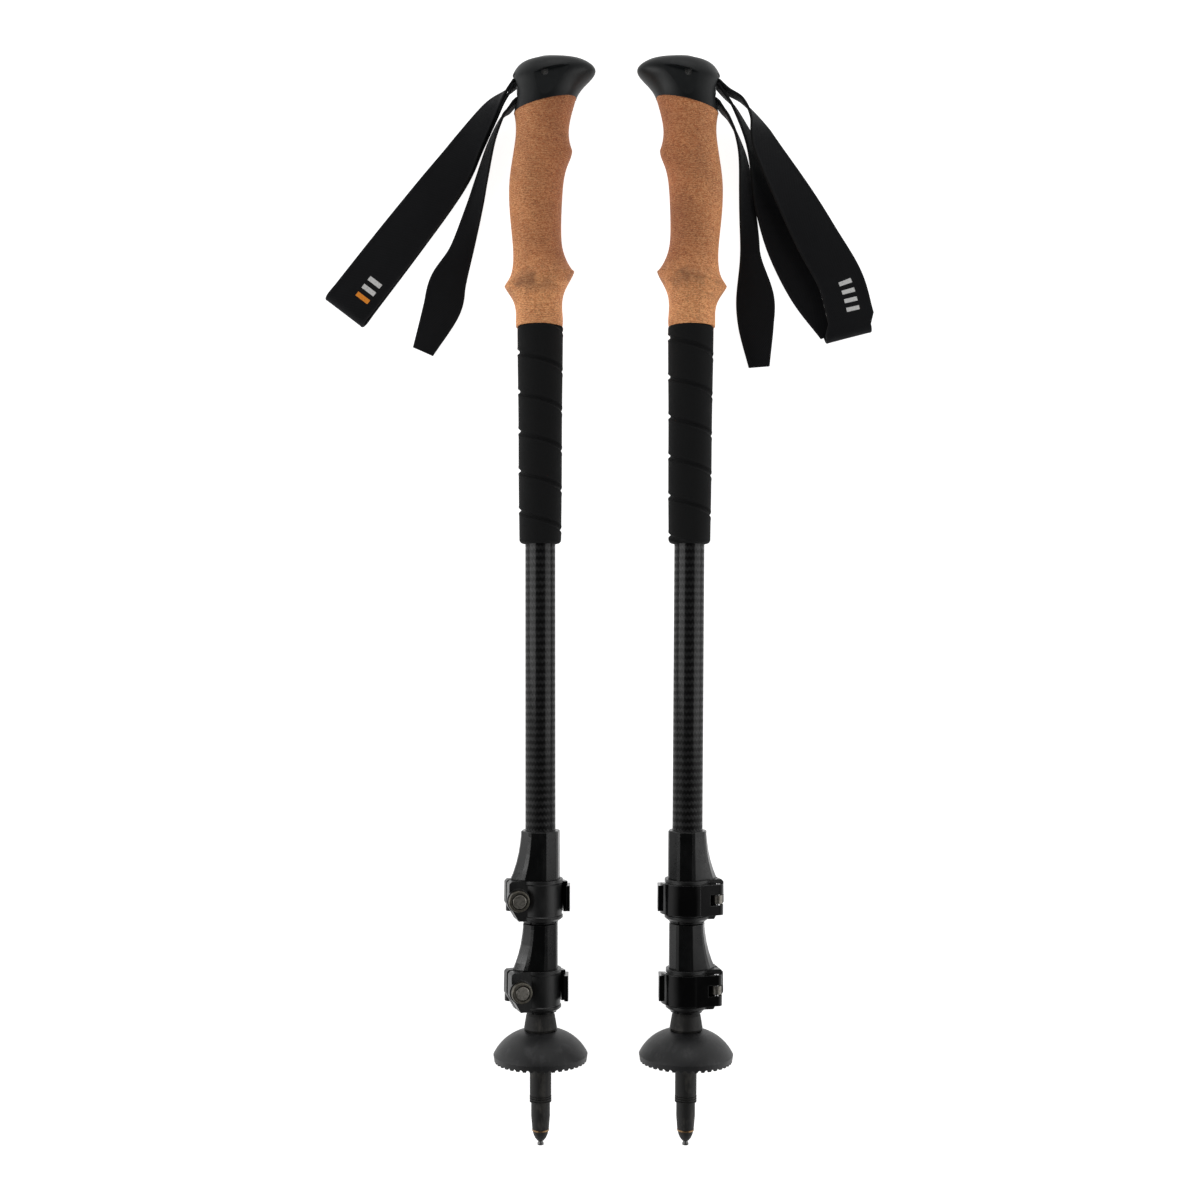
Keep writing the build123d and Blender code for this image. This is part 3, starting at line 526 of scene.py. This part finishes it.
def metal(name, color, tarnish, roughness):
    """Plated or bare metal with fine scratches and a little tarnish."""
    material, t, shader, place = new_material(name)
    wear = t.group(WEAR, Vector=place, Edge=0.0002, Scuff_Size=500.0)
    scratches = t.noise(t.vector("MULTIPLY", place, (900.0, 6000.0, 900.0)), 1.0, 3.0)
    dull = t.spread(t.noise(place, 700.0, 4.0, 0.6), 0.45, 0.7)
    t.put(t.mix(dull, rgb(*color), rgb(*tarnish)), shader.inputs["Base Color"])
    rough = t.spread(scratches, 0.3, 0.7, roughness - 0.08, roughness + 0.12)
    t.put(rough, shader.inputs["Roughness"])
    shader.inputs["Metallic"].default_value = 1.0
    t.put(bump(t, scratches, 0.00001, 0.5, wear["Soft Normal"]), shader.inputs["Normal"])
    return material


# Plain printed bars near the fold of each loop: where they start along the strap from the end of
# the fold, how long they are, and where they begin and end round the strap's section.
PRINTS = {
    "left": [(2.0, 3.0, 6.0, 15.0), (8.0, 3.0, 6.0, 15.0), (14.0, 3.0, 6.0, 15.0)],
    "right": [(start, 2.6, 38.0, 46.0) for start in (4.0, 9.5, 15.0, 20.5)],
}


def between(tree, value, low, high):
    """1 where value lies between low and high, 0 elsewhere."""
    over = tree.math("GREATER_THAN", value, low)
    return tree.math("MULTIPLY", over, tree.math("LESS_THAN", value, high))


def webbing_material(side, marks):
    """Fine-woven strap: ribs across, a selvedge along each edge and plain printed bars."""
    material, t, shader, _ = new_material(side + " webbing")
    laid = t.add("ShaderNodeUVMap", uv_map="strap").outputs["UV"]
    spot = t.add("ShaderNodeSeparateXYZ", {"Vector": laid}).outputs
    weave = t.group(WEAVE, Across=spot["X"], Along=spot["Y"], Tow=0.00034)
    worn = t.noise(laid, 140.0, 4.0, 0.6)
    color = t.mix(weave["Over"], rgb(0.0022, 0.0023, 0.0028), rgb(0.0056, 0.0059, 0.0070))
    color = t.mix(t.spread(worn, 0.4, 0.75, 0.0, 0.5), color, rgb(0.0088, 0.0092, 0.0104))
    edge = t.add("ShaderNodeAttribute", attribute_name="selvedge").outputs["Fac"]
    color = t.mix(t.math("MULTIPLY", edge, 0.5), color, rgb(0.0125, 0.0128, 0.0135))
    for start, length, low, high, ink in marks:
        along = between(t, spot["Y"], start, start + length)
        across = between(t, spot["X"], low, high)
        covered = t.spread(weave["Tone"], 0.0, 0.12, 0.55, 1.0)
        patch = t.math("MULTIPLY", t.math("MULTIPLY", along, across), covered)
        color = t.mix(patch, color, ink)
    t.put(color, shader.inputs["Base Color"])
    t.put(t.spread(worn, 0.3, 0.7, 0.62, 0.8), shader.inputs["Roughness"])
    shader.inputs["Specular IOR Level"].default_value = 0.12
    shader.inputs["Sheen Weight"].default_value = 0.015
    shader.inputs["Sheen Roughness"].default_value = 0.4
    t.put(bump(t, weave["Height"], 0.00005, 0.8), shader.inputs["Normal"])
    return material


# ---- meshes ----
def new_piece(name, points, faces, material):
    """A smooth-shaded mesh object in the scene."""
    mesh = bpy.data.meshes.new(name)
    mesh.from_pydata([tuple(p) for p in points], [], faces)
    mesh.polygons.foreach_set("use_smooth", [True] * len(mesh.polygons))
    mesh.materials.append(material)
    mesh.validate()
    mesh.update()
    piece = bpy.data.objects.new(name, mesh)
    bpy.context.scene.collection.objects.link(piece)
    return piece


def foam_grip(side, material):
    """The foam sleeve with its spiral groove, rounded where it ends on the tube."""
    rounds, rows = 112, 420
    points, faces = [], []
    for row in range(rows + 1):
        z = FOAM_LENGTH * row / rows
        body_r = FOAM_BOTTOM_R + (FOAM_TOP_R - FOAM_BOTTOM_R) * z / FOAM_LENGTH
        body_r += 0.12 * sin(z / 17.0) * sin(z / 41.0)
        foot = max(0.0, 1.0 - z / FOOT_ROUND)
        body_r -= FOOT_ROUND * (1 - sqrt(1 - foot * foot))
        brim = max(0.0, 1.0 - (FOAM_LENGTH - z) / BRIM_ROUND)
        body_r -= BRIM_DROP * (1 - sqrt(1 - brim * brim))
        for step in range(rounds):
            angle = 2 * pi * step / rounds
            groove = GROOVE_START[side] - GROOVE_PITCH * step / rounds
            away = (z - groove + GROOVE_PITCH / 2) % GROOVE_PITCH - GROOVE_PITCH / 2
            depth = GROOVE_DEPTH * exp(-((away / GROOVE_HALF) ** 4)) ** 0.8
            lip = GROOVE_LIP * exp(-(((abs(away) - GROOVE_LIP_AT) / GROOVE_LIP_HALF) ** 2))
            r = body_r - depth + lip
            points.append((r * cos(angle), r * sin(angle), FOAM_FOOT + z))
    for row in range(rows):
        for step in range(rounds):
            after = (step + 1) % rounds
            low, high = row * rounds, (row + 1) * rounds
            faces.append((low + step, low + after, high + after, high + step))
    for end, row in ((0, 0), (1, rows)):
        rim = len(points)
        z = FOAM_FOOT + FOAM_LENGTH * end
        for step in range(rounds):
            angle = 2 * pi * step / rounds
            points.append((FOAM_BORE_R * cos(angle), FOAM_BORE_R * sin(angle), z))
        for step in range(rounds):
            after = (step + 1) % rounds
            ring = (row * rounds + step, row * rounds + after, rim + after, rim + step)
            faces.append(ring if end else ring[::-1])
    foot_rim = (rows + 1) * rounds
    top_rim = foot_rim + rounds
    for step in range(rounds):
        after = (step + 1) % rounds
        faces.append((top_rim + step, top_rim + after, foot_rim + after, foot_rim + step))
    placed = [POLE[side] @ (Vector(p) * MM) for p in points]
    piece = new_piece(side + "_foam_sleeve", placed, faces, material)
    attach(piece, side + "_grip")
    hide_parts(side + "_foam_grip")
    return piece


def smooth_run(rows, fine):
    """Rows of numbers, eased through with a Catmull-Rom curve, fine steps to each span."""
    rows = np.array(rows, float)
    ends = np.vstack([2 * rows[0] - rows[1], rows, 2 * rows[-1] - rows[-2]])
    out = []
    for i in range(1, len(ends) - 2):
        a, b, c, d = ends[i - 1], ends[i], ends[i + 1], ends[i + 2]
        for k in range(fine):
            s = k / fine
            square = 2 * a - 5 * b + 4 * c - d
            cube = 3 * b - a - 3 * c + d
            out.append(0.5 * ((2 * b) + (c - a) * s + square * s * s + cube * s**3))
    out.append(ends[-2])
    return np.array(out)


def laid_rows(side, stations):
    """Centre, width and twist at each station, in the shared frame's millimetres and degrees."""
    root = Vector(joints[side + "_strap_swing"]["pos_m"]) / MM
    out = -1 if side == "left" else 1
    rows = []
    for away, down, height, width, twist in stations:
        z = root.z if height is None else height
        rows.append((root.x + out * away, root.y - down, z, width, twist))
    return rows


def ribbon_frames(side, rows):
    """A (centre, run, wide, width) at each row: the strap's width turns from flat to upright."""
    out = -1 if side == "left" else 1
    centres = [Vector(row[:3]) for row in rows]
    frames = []
    for i, row in enumerate(rows):
        run = (centres[min(i + 1, len(rows) - 1)] - centres[max(i - 1, 0)]).normalized()
        inward = Vector((out * run.y, -out * run.x, 0)).normalized()
        rise = inward.cross(run) * out
        wide = inward * cos(radians(row[4])) + rise * sin(radians(row[4]))
        frames.append((centres[i], run, wide, row[3]))
    return frames


def head_frames(side, spots):
    """The strap inside the head, on edge, through places in the pole's own x and z."""
    upright = Vector((0, 0, 1))
    placed = [POLE[side] @ (Vector((x, 0, CORK_FOOT + z)) * MM) / MM for x, z in spots]
    frames = []
    for i, centre in enumerate(placed):
        run = (placed[min(i + 1, len(placed) - 1)] - placed[max(i - 1, 0)]).normalized()
        wide = (upright - run * upright.dot(run)).normalized()
        frames.append((centre, run, wide, SLOT_WIDTH))
    return frames


def fold_frames(under, over):
    """The turn at the far end of the loop, from the lower leg up to the upper one."""
    low, high = under[-1], over[-1]
    run = Vector((high[1].x, high[1].y, 0)).normalized()
    wide = Vector((high[2].x, high[2].y, 0)).normalized()
    middle = (low[0] + high[0]) / 2
    middle.z = FLOOR_GAP + STRAP_THICK / 2 + FOLD_R
    middle += run * FOLD_LENGTH
    frames = []
    for step in range(17):
        turn = pi * step / 16
        centre = middle + run * FOLD_R * sin(turn) - Vector((0, 0, FOLD_R * cos(turn)))
        heading = run * cos(turn) + Vector((0, 0, sin(turn)))
        frames.append((centre, heading, wide, high[3]))
    return frames


def strap_profile(width):
    """Round the strap's section: how far across, how far up, and how near a selvedge."""
    half = width / 2
    insets = (0.0, 0.12, 0.4, 0.9, 1.6)
    across = [half - d for d in insets]
    across += list(np.linspace(half - 2.6, -half + 2.6, 9))
    across += [d - half for d in reversed(insets)]
    top = []
    for place in across:
        inset = half - abs(place)
        full = sqrt(max(0.0, 1 - (1 - min(1.0, inset / EDGE_ROUND)) ** 2))
        ridge = SELVEDGE_RISE * exp(-(((inset - SELVEDGE_AT) / SELVEDGE_HALF) ** 2))
        edge = 1.0 if inset < SELVEDGE else 0.0
        top.append((place, STRAP_THICK / 2 * full + ridge * full, edge))
    under = [(place, -rise, edge) for place, rise, edge in reversed(top[1:-1])]
    return top + under


def ripple(length):
    """A slow, small waviness of the cloth, upwards from where it lies."""
    return 0.4 + 0.24 * sin(length / 13.0 + 0.6) + 0.14 * sin(length / 5.3 + 2.0)


def strap(side):
    """One length of webbing: lower leg, fold, upper leg, round the pin in the head, and the tail.

    Gives its sections in order, and which of them is the first after the fold.
    """
    under, over, tail = STRAPS[side]
    fine = 10
    lower = ribbon_frames(side, smooth_run(laid_rows(side, under), fine))
    upper = ribbon_frames(side, smooth_run(laid_rows(side, over), fine))
    end = ribbon_frames(side, smooth_run(laid_rows(side, tail), fine))
    x, z = PIN_AT
    turn_r = PIN_R + 0.1 + STRAP_THICK / 2
    mouth = MOUTH_X + MOUTH_DEPTH
    anchor = head_frames(side, smooth_run([(-5.0, 148.3), (-9.0, 147.2), (mouth, 145.7)], 4))
    spots = [(mouth, MOUTH_RISE + 1.3), (-9.0, 149.9), (-3.0, 151.3), (x - 1.5, z + turn_r)]
    bend = [(x + turn_r * sin(a), z + turn_r * cos(a)) for a in np.linspace(0, pi, 13)]
    tail_rise = MOUTH_RISE - TAIL_DROP + 1.0
    back = [(x - 1.5, z - turn_r), (-3.0, 142.7), (-9.0, 139.0), (mouth, tail_rise)]
    inside = head_frames(side, spots + bend + back)
    frames = anchor + lower + fold_frames(lower, upper)
    fold_end = len(frames)
    frames += [(centre, -run, wide, width) for centre, run, wide, width in reversed(upper)]
    frames += inside + end
    return frames, fold_end


def strap_piece(side):
    """The strap as one closed ribbon, with its printed bars and how it hangs on the head."""
    frames, fold_end = strap(side)
    points, faces, places, edges = [], [], [], []
    along = 0.0
    count = len(strap_profile(SLOT_WIDTH))
    marks_from = 0.0
    for i, (centre, run, wide, width) in enumerate(frames):
        if i:
            along += (centre - frames[i - 1][0]).length
        if i == fold_end:
            marks_from = along
        normal = wide.cross(run).normalized()
        ends = min(1.0, along / 40.0)
        travelled = 0.0
        last = None
        for across, rise, edge in strap_profile(width):
            point = centre + wide * across + normal * rise
            if width > 13:
                point.z += ripple(along) * ends * (1 - (2 * across / width) ** 2)
            points.append(point * MM)
            if last is not None:
                travelled += sqrt((across - last[0]) ** 2 + (rise - last[1]) ** 2)
            last = (across, rise)
            places.append((travelled * MM, along * MM))
            edges.append(edge)
    for i in range(len(frames) - 1):
        for k in range(count):
            after = (k + 1) % count
            low, high = i * count, (i + 1) * count
            faces.append((low + k, high + k, high + after, low + after))
    half = count // 2
    for base, flip in ((0, False), ((len(frames) - 1) * count, True)):
        strip = [base + k for k in range(count)]
        for k in range(half):
            quad = (strip[k], strip[k + 1], strip[count - 1 - k], strip[(count - k) % count])
            quad = tuple(dict.fromkeys(quad))
            if len(quad) > 2:
                faces.append(quad[::-1] if flip else quad)
    orange, grey = rgb(0.78, 0.26, 0.03), rgb(0.62, 0.62, 0.61)
    ink = {"left": [orange, grey, grey], "right": [grey] * 4}
    marks = []
    for (start, long, low, high), tint in zip(PRINTS[side], ink[side]):
        marks.append((marks_from * MM + start * MM, long * MM, low * MM, high * MM, tint))
    piece = new_piece(side + "_webbing", points, faces, webbing_material(side, marks))
    layer = piece.data.uv_layers.new(name="strap")
    for loop in piece.data.loops:
        layer.data[loop.index].uv = places[loop.vertex_index]
    attribute = piece.data.attributes.new("selvedge", "FLOAT", "POINT")
    attribute.data.foreach_set("value", edges)
    steps = zip(frames, frames[1:])
    area = sum((after[0] - row[0]).length * row[3] for row, after in steps) * MM * MM
    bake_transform(piece)
    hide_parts(side + "_strap_loop", side + "_strap_tail", side + "_strap_turn")
    return piece


# ---- finish every CAD node ----
head_plastic = moulded(
    "head plastic", (0.0030, 0.0042, 0.0046), (0.035, 0.038, 0.04), 0.46,
    gloss=0.26, grain=3400.0, scuffed=0.12,
)
clamp_plastic = moulded(
    "clamp plastic", (0.0068, 0.007, 0.0072), (0.045, 0.045, 0.045), 0.36,
    gloss=0.38, scuffed=0.2,
)
sleeve_plastic = moulded(
    "sleeve plastic", (0.0018, 0.002, 0.0021), (0.03, 0.03, 0.031), 0.28,
    gloss=0.28, grain=2400.0, scuffed=0.12,
)
lever_plastic = moulded(
    "lever plastic", (0.0012, 0.0012, 0.0013), (0.02, 0.02, 0.02), 0.14,
    gloss=0.32, grain=1800.0, depth=0.00001, scuffed=0.06,
)
basket_plastic = moulded(
    "basket plastic", (0.0085, 0.0088, 0.0094), (0.06, 0.06, 0.062), 0.48,
    gloss=0.34, grain=1500.0, depth=0.00008, scuffed=0.4,
)
tip_plastic = moulded(
    "tip plastic", (0.010, 0.0098, 0.0092), (0.075, 0.07, 0.062), 0.62,
    grain=900.0, depth=0.00012, scuffed=0.9,
)
wedge_plastic = moulded("wedge plastic", (0.22, 0.22, 0.225), (0.35, 0.35, 0.35), 0.45)
bushing_plastic = moulded("bushing plastic", (0.05, 0.05, 0.052), (0.1, 0.1, 0.1), 0.4)
steel = metal("steel", (0.56, 0.56, 0.55), (0.20, 0.19, 0.17), 0.28)
dark_steel = metal("dark steel", (0.20, 0.19, 0.17), (0.08, 0.075, 0.065), 0.4)
carbide = metal("carbide", (0.16, 0.16, 0.16), (0.06, 0.06, 0.055), 0.42)
brass = metal("brass", (0.36, 0.22, 0.11), (0.14, 0.085, 0.045), 0.36)
pale_steel = metal("pale steel", (0.75, 0.75, 0.76), (0.45, 0.45, 0.45), 0.16)
knob_metal = metal("anodised knob", (0.10, 0.093, 0.078), (0.05, 0.047, 0.04), 0.42)
foam = foam_material()

FINISH = {
    "grip_head": head_plastic,
    "strap_pin": steel,
    "strap_wedge": wedge_plastic,
    "strap_turn": foam,
    "strap_loop": foam,
    "strap_tail": foam,
    "foam_grip": foam,
    "middle_bushing": bushing_plastic,
    "lower_bushing": bushing_plastic,
    "tip_holder": tip_plastic,
    "tip_ring": brass,
    "carbide_tip": carbide,
    "basket": basket_plastic,
    "sleeve": sleeve_plastic,
    "collar": clamp_plastic,
    "tension_bolt": dark_steel,
    "tension_knob": knob_metal,
    "lever_pivot": pale_steel,
    "lever": lever_plastic,
}


def finish_for(side, kind):
    """The material of a CAD node, by its name without the side."""
    if kind == "cork_grip":
        return CORK[side]
    if kind.endswith("_tube"):
        return CARBON[side, kind]
    for level in ("upper_", "lower_"):
        if kind.startswith(level) and kind[len(level):] in FINISH:
            return FINISH[kind[len(level):]]
    return FINISH[kind]


TUBE_R = {"upper_tube": 9.0, "middle_tube": 8.0, "lower_tube": 7.0}
CORK = {side: cork(side) for side in SIDES}
CARBON = {(side, kind): carbon(side, r) for side in SIDES for kind, r in TUBE_R.items()}
for name, node in frame["nodes"].items():
    side, kind = name.split("_", 1)
    material = finish_for(side, kind)
    if node.data.materials:
        for i in range(len(node.data.materials)):
            node.data.materials[i] = material
    else:
        node.data.materials.append(material)

for side in SIDES:
    foam_grip(side, foam)
    strap_piece(side)


# ---- floor, light and camera ----
def floor():
    """A plain white floor, lit enough to hide its own shadows."""
    mesh = bpy.data.meshes.new("floor")
    reach = 3.0
    corners = [(-reach, -reach, 0), (reach, -reach, 0), (reach, reach, 0), (-reach, reach, 0)]
    mesh.from_pydata(corners, [], [(0, 1, 2, 3)])
    plane = bpy.data.objects.new("floor", mesh)
    bpy.context.scene.collection.objects.link(plane)
    material, t, shader, place = new_material("pale floor")
    haze = t.noise(place, 3.0, 2.0)
    t.put(t.mix(haze, rgb(0.55, 0.55, 0.55), rgb(0.58, 0.58, 0.58)), shader.inputs["Base Color"])
    shader.inputs["Roughness"].default_value = 0.9
    shader.inputs["Specular IOR Level"].default_value = 0.0
    shader.inputs["Emission Color"].default_value = rgb(1, 1, 1)
    shader.inputs["Emission Strength"].default_value = 0.93
    mesh.materials.append(material)


def softbox(name, place, target, width, length, power):
    """A lamp with a rectangular face, turned to a target."""
    light = bpy.data.lights.new(name, "AREA")
    light.shape = "RECTANGLE"
    light.size, light.size_y = width, length
    light.energy = power
    box = bpy.data.objects.new(name, light)
    box.location = place
    box.rotation_euler = (Vector(target) - Vector(place)).to_track_quat("-Z", "Y").to_euler()
    bpy.context.scene.collection.objects.link(box)


floor()
softbox("right light", (1.7, 0.0, 0.74), (0, 0, 0), 0.45, 1.9, 12)
softbox("left light", (-1.7, 0.1, 0.95), (0, 0, 0), 0.45, 1.9, 17)
softbox("head light", (0.1, 1.7, 0.8), (0, 0.2, 0), 1.2, 0.4, 5)

world = bpy.data.worlds.new("studio")
bpy.context.scene.world = world
world.use_nodes = True
sky = Tree(world.node_tree)
direction = sky.add("ShaderNodeTexCoord").outputs["Generated"]
heading = sky.add("ShaderNodeSeparateXYZ", {"Vector": direction})
height = sky.spread(heading.outputs["Z"], 0.35, 0.8)  # white all round, dark overhead
backdrop = sky.mix(height, rgb(1, 1, 1), rgb(0.05, 0.05, 0.05))
sky.put(backdrop, world.node_tree.nodes["Background"].inputs["Color"])
world.node_tree.nodes["Background"].inputs["Strength"].default_value = 0.8

lens = bpy.data.cameras.new("camera")
lens.lens = 45.5
lens.sensor_width = 36
lens.clip_start = 0.01
camera = bpy.data.objects.new("camera", lens)
camera.location = (0.0, -0.0011, 0.93)
bpy.context.scene.collection.objects.link(camera)
bpy.context.scene.camera = camera
bpy.context.scene.view_settings.view_transform = "Standard"
